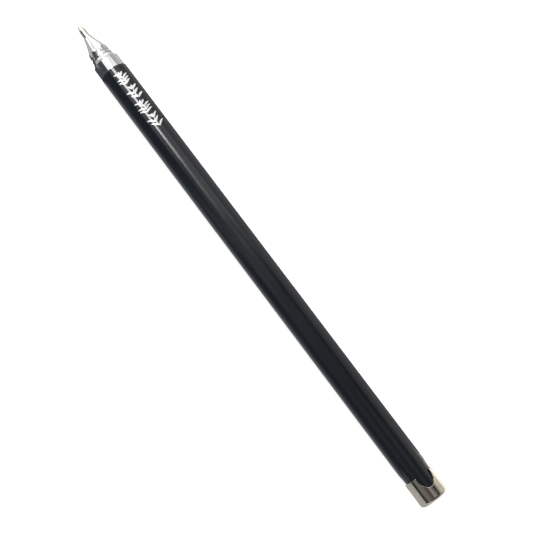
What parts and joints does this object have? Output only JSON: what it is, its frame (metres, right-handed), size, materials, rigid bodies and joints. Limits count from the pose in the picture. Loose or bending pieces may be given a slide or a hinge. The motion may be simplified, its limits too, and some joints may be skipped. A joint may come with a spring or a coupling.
{
  "type": "ballpoint pen",
  "caption": "Capless ballpoint pen shaped like a slim sword scabbard: lacquered tube, turned chrome nose that unscrews and a notched chrome chape at the tail.",
  "frame": {"origin": "on the pen's axis, at the plane where the nose's collar meets the barrel's mouth", "axes": "+X along the pen's axis towards the writing tip; +Z out of the decorated face, through the middle of one of the chape's notches"},
  "size_m": [0.2005, 0.0106, 0.0106],
  "materials": {
    "barrel_lacquer": "black gloss lacquer on a drawn aluminium tube",
    "insert_brass": "turned brass",
    "chape_chrome": "nickel chrome over a drawn cup",
    "plug_plastic": "moulded black ABS",
    "spacer_plastic": "moulded natural polypropylene",
    "spring_steel": "drawn spring wire",
    "tube_plastic": "extruded clear polypropylene",
    "ink": "black gel ink",
    "follower_grease": "clear grease",
    "holder_plastic": "moulded acetal",
    "point_metal": "turned nickel silver",
    "ball_carbide": "ground tungsten carbide",
    "nose_chrome": "bright chrome on turned brass"
  },
  "bodies": {
    "barrel_body": {"barrel": "barrel_lacquer", "thread_insert": "insert_brass", "chape": "chape_chrome", "tail_plug": "plug_plastic", "refill_spacer": "spacer_plastic", "refill_spring": "spring_steel"},
    "refill": {"ink_tube": "tube_plastic", "ink_column": "ink", "ink_follower": "follower_grease", "tip_holder": "holder_plastic", "point_housing": "point_metal"},
    "nose": {"nose_section": "nose_chrome"},
    "ball": {"writing_ball": "ball_carbide"}
  },
  "joints": [
    {"name": "refill_travel", "type": "slide", "parent": "barrel_body", "child": "refill", "axis": [1, 0, 0], "range_m": [0, 0.006], "deforming": ["refill_spring"]},
    {"name": "nose_unscrew", "type": "hinge", "parent": "refill", "child": "nose", "pos_m": [0, 0, 0], "axis": [1, 0, 0], "range_deg": [0, 2880]},
    {"name": "ball_roll", "type": "hinge", "parent": "refill", "child": "ball", "pos_m": [0.0211, 0, 0], "axis": [0, 1, 0], "continuous": true}
  ],
  "couplings": [
    {"joint": "nose_unscrew", "follows": "refill_travel", "rad_per_m": 8377.6}
  ]
}
